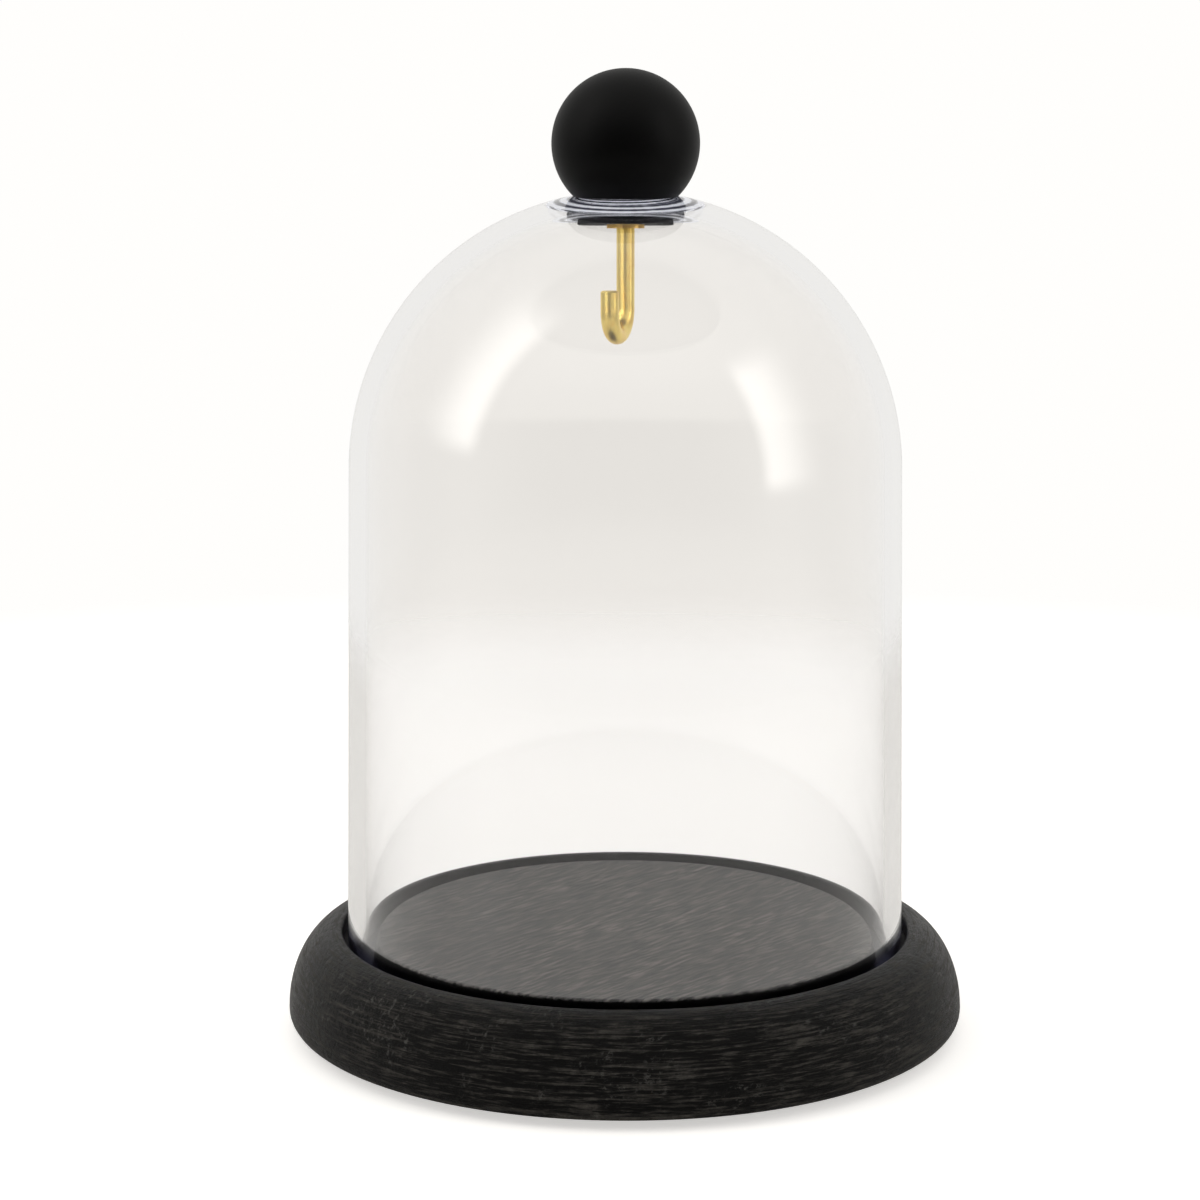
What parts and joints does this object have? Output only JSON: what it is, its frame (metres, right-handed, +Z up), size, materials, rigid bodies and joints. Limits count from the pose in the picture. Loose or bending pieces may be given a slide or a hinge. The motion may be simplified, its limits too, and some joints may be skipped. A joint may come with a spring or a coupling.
{
  "type": "bell jar dome",
  "caption": "Clear bell jar dome with a ball knob and an inner brass hook for hanging a watch, standing in the groove of a round dark wooden base.",
  "frame": {"origin": "centre of the underside of the felt pad, on the surface the part stands on", "axes": "+Z up along the dome's axis; the front of the part, towards which the hook's tip points, is -Y; +X is to the right seen from the front"},
  "size_m": [0.0922, 0.0922, 0.1299],
  "materials": {
    "ebonised_wood": "open grain, stained black, satin, slightly rubbed back",
    "felt": "felt",
    "clear_acrylic": "polished clear acrylic",
    "black_knob": "fine satin black",
    "brass_insert": "turned",
    "black_rubber": "matt",
    "brass_collar": "turned and lacquered",
    "brass_wire": "polished and lacquered"
  },
  "bodies": {
    "base_set": {"base": "ebonised_wood", "felt_pad": "felt"},
    "dome_set": {"dome": "clear_acrylic", "knob": "black_knob", "knob_insert": "brass_insert", "crown_washer": "black_rubber"},
    "hook_set": {"hook": "brass_wire", "hook_collar": "brass_collar"}
  },
  "joints": [
    {"name": "dome_lift", "type": "slide", "parent": "base_set", "child": "dome_set", "axis": [0, 0, 1], "range_m": [0, 0.12]},
    {"name": "hook_swivel", "type": "hinge", "parent": "dome_set", "child": "hook_set", "pos_m": [0, 0, 0.1094], "axis": [0, 0, 1], "range_deg": [-180, 180]}
  ]
}
